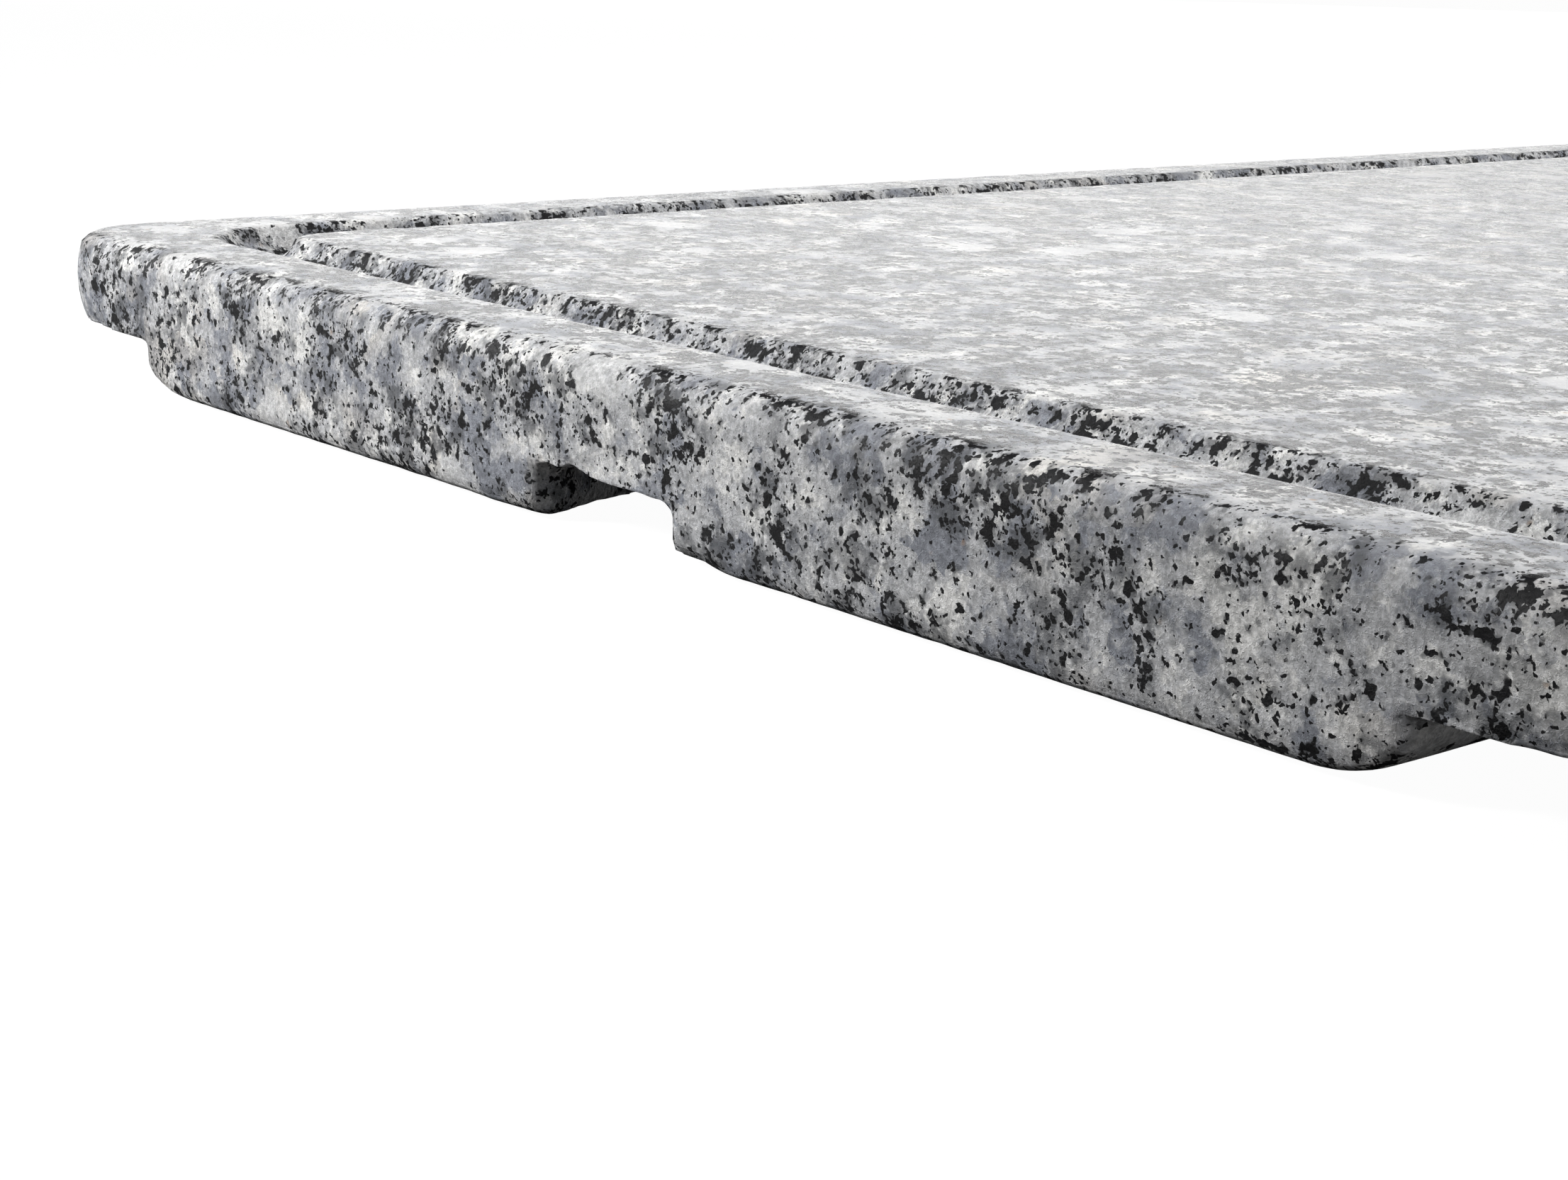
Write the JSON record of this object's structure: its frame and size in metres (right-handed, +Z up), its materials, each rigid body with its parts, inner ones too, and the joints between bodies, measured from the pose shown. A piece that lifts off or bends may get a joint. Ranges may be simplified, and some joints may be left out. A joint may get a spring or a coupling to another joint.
{
  "type": "granite grill stone",
  "caption": "Flat granite grill stone with a juice groove round its cooking face, rebates under its long sides and a notch under each short side.",
  "frame": {"origin": "on the surface the stone rests on, under the middle of the stone", "axes": "+X across the short sides, +Y along the long sides, +Z up out of the cooking face"},
  "size_m": [0.21, 0.42, 0.015],
  "materials": {
    "granite": "honed light grey granite with black mica grains"
  },
  "bodies": {
    "root": {"grill_stone": "granite"}
  },
  "joints": []
}
